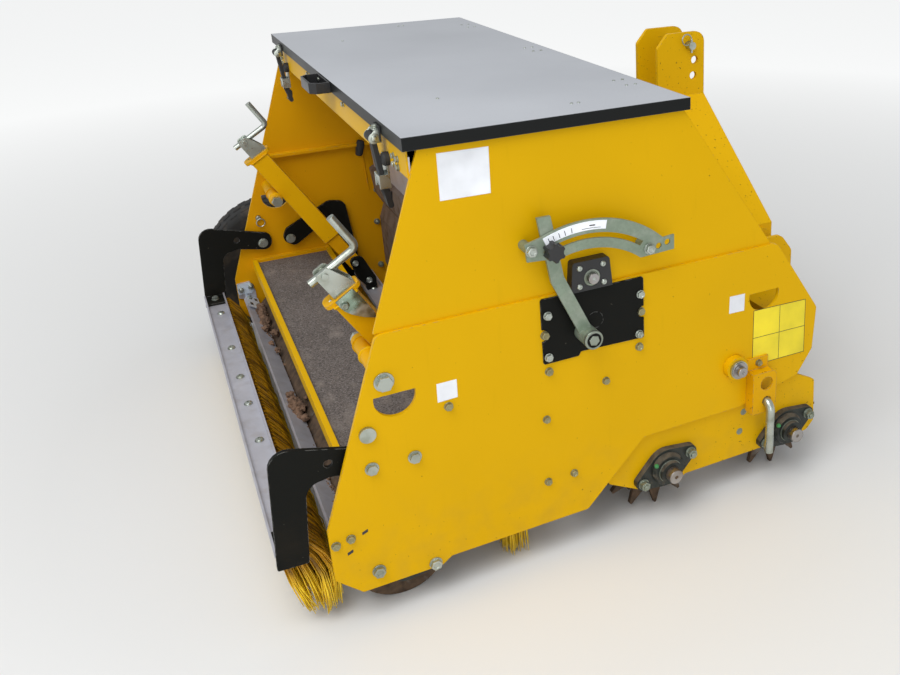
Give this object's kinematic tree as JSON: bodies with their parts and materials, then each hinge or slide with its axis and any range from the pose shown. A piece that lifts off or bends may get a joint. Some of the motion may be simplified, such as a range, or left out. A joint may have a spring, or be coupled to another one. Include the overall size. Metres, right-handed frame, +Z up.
{
  "type": "tractor-mounted roller overseeder (seed drill)",
  "caption": "Tractor-mounted grass seed drill with a lidded hopper, spiked rollers, rear roller, folding brushes, screw jacks and a land wheel.",
  "frame": {"origin": "middle of the footprint's bounding box, on the ground", "axes": "+X forward to the tractor, +Y to the machine's left, +Z up"},
  "size_m": [1.204, 1.465, 0.881],
  "materials": {
    "yellow_paint": "safety-yellow paint, satin, with soil specks",
    "black_paint": "black powder coat, satin",
    "galvanised": "galvanised sheet, satin",
    "zinc": "zinc-plated, satin",
    "cast": "greased bearing housings",
    "soiled_steel": "steel with dried soil",
    "deck_cloth": "speckled grit floor",
    "bristle": "orange-yellow bristles",
    "black_plastic": "moulded plastic, matte",
    "black_rubber": "moulded rubber",
    "tyre": "dirty tyre"
  },
  "bodies": {
    "frame": {"side_plate_right": "yellow_paint", "side_plate_left": "yellow_paint", "hopper_end_right": "yellow_paint", "hopper_end_left": "yellow_paint", "hopper_rails": "yellow_paint", "hopper_slopes": "galvanised", "seed_box": "galvanised", "seed_deflector": "galvanised", "agitator_bearings": "black_plastic", "cover_plates": "black_paint", "deck_frame": "yellow_paint", "deck_floor": "deck_cloth", "front_beam": "yellow_paint", "cross_tube": "yellow_paint", "headstock": "yellow_paint", "hitch_cheeks": "yellow_paint", "top_link_pin": "zinc", "carriage_plates": "yellow_paint", "carriage_pivots": "zinc", "roller_bearings": "cast", "lock_brackets": "yellow_paint", "lock_pins": "zinc", "rear_bearings": "cast", "scraper_bar": "galvanised", "arm_pins": "zinc", "jack_bolts": "zinc", "lid_hinges": "zinc", "strap_catches": "zinc", "rate_quadrant": "galvanised", "rate_lever": "galvanised", "rate_knob": "black_plastic", "wheel_case": "black_paint", "drive_guard": "black_paint"},
    "lid": {"lid": "black_paint", "lid_handle": "black_plastic", "lid_straps": "black_rubber"},
    "front_spiked_roller": {"front_spiked_roller": "soiled_steel"},
    "rear_spiked_roller": {"rear_spiked_roller": "soiled_steel"},
    "rear_roller": {"rear_roller": "soiled_steel"},
    "land_wheel": {"wheel_tyre": "tyre", "wheel_rim": "black_paint"},
    "seed_roller": {"seed_roller": "black_plastic"},
    "agitator": {"agitator": "zinc"},
    "rear_brush": {"rear_brush_arms": "black_paint", "rear_brush_beam": "galvanised", "rear_bristles": "bristle"},
    "mid_brush": {"mid_brush_arms": "black_paint", "mid_brush_beam": "galvanised", "mid_bristles": "bristle"},
    "jack_right": {"jack_tube_right": "yellow_paint", "jack_crank_right": "zinc"},
    "jack_right_rod": {"jack_rod_right": "yellow_paint"},
    "jack_left": {"jack_tube_left": "yellow_paint", "jack_crank_left": "zinc"},
    "jack_left_rod": {"jack_rod_left": "yellow_paint"}
  },
  "joints": [
    {"name": "lid_hinge", "type": "hinge", "parent": "frame", "child": "lid", "pos_m": [0.2073, -0.0525, 0.848], "axis": [0, 1, 0], "range_deg": [0, 95]},
    {"name": "front_roller_spin", "type": "hinge", "parent": "frame", "child": "front_spiked_roller", "pos_m": [0.448, -0.0525, 0.116], "axis": [0, 1, 0], "continuous": true},
    {"name": "rear_spiked_spin", "type": "hinge", "parent": "frame", "child": "rear_spiked_roller", "pos_m": [0.148, -0.0525, 0.116], "axis": [0, 1, 0], "continuous": true},
    {"name": "rear_roller_spin", "type": "hinge", "parent": "frame", "child": "rear_roller", "pos_m": [-0.389, -0.0525, 0.088], "axis": [0, 1, 0], "continuous": true},
    {"name": "land_wheel_spin", "type": "hinge", "parent": "frame", "child": "land_wheel", "pos_m": [-0.383, -0.0525, 0.2], "axis": [0, 1, 0], "continuous": true},
    {"name": "seed_roller_spin", "type": "hinge", "parent": "frame", "child": "seed_roller", "pos_m": [-0.001, -0.0525, 0.485], "axis": [0, 1, 0], "continuous": true},
    {"name": "agitator_spin", "type": "hinge", "parent": "frame", "child": "agitator", "pos_m": [-0.009, -0.0525, 0.575], "axis": [0, 1, 0], "continuous": true},
    {"name": "rear_brush_fold", "type": "hinge", "parent": "frame", "child": "rear_brush", "pos_m": [-0.428, -0.0525, 0.31], "axis": [0, 1, 0], "range_deg": [0, 73]},
    {"name": "mid_brush_lift", "type": "hinge", "parent": "frame", "child": "mid_brush", "pos_m": [-0.354, -0.0525, 0.309], "axis": [0, -1, 0], "range_deg": [0, 14]},
    {"name": "jack_right_swivel", "type": "hinge", "parent": "frame", "child": "jack_right", "pos_m": [-0.39, -0.0525, 0.467], "axis": [0, -1, 0], "range_deg": [0, 6.5]},
    {"name": "jack_right_slide", "type": "slide", "parent": "jack_right", "child": "jack_right_rod", "axis": [-0.5224, 0, 0.8527], "range_m": [0, 0.0202]},
    {"name": "jack_left_swivel", "type": "hinge", "parent": "frame", "child": "jack_left", "pos_m": [-0.39, -0.0525, 0.467], "axis": [0, -1, 0], "range_deg": [0, 6.5]},
    {"name": "jack_left_slide", "type": "slide", "parent": "jack_left", "child": "jack_left_rod", "axis": [-0.5224, 0, 0.8527], "range_m": [0, 0.0202]}
  ],
  "couplings": [
    {"joint": "seed_roller_spin", "follows": "land_wheel_spin", "ratio": 1},
    {"joint": "agitator_spin", "follows": "land_wheel_spin", "ratio": 1},
    {"joint": "jack_right_swivel", "follows": "mid_brush_lift", "ratio": 0.447},
    {"joint": "jack_right_slide", "follows": "mid_brush_lift", "m_per_rad": 0.0815},
    {"joint": "jack_left_swivel", "follows": "mid_brush_lift", "ratio": 0.447},
    {"joint": "jack_left_slide", "follows": "mid_brush_lift", "m_per_rad": 0.0815}
  ]
}
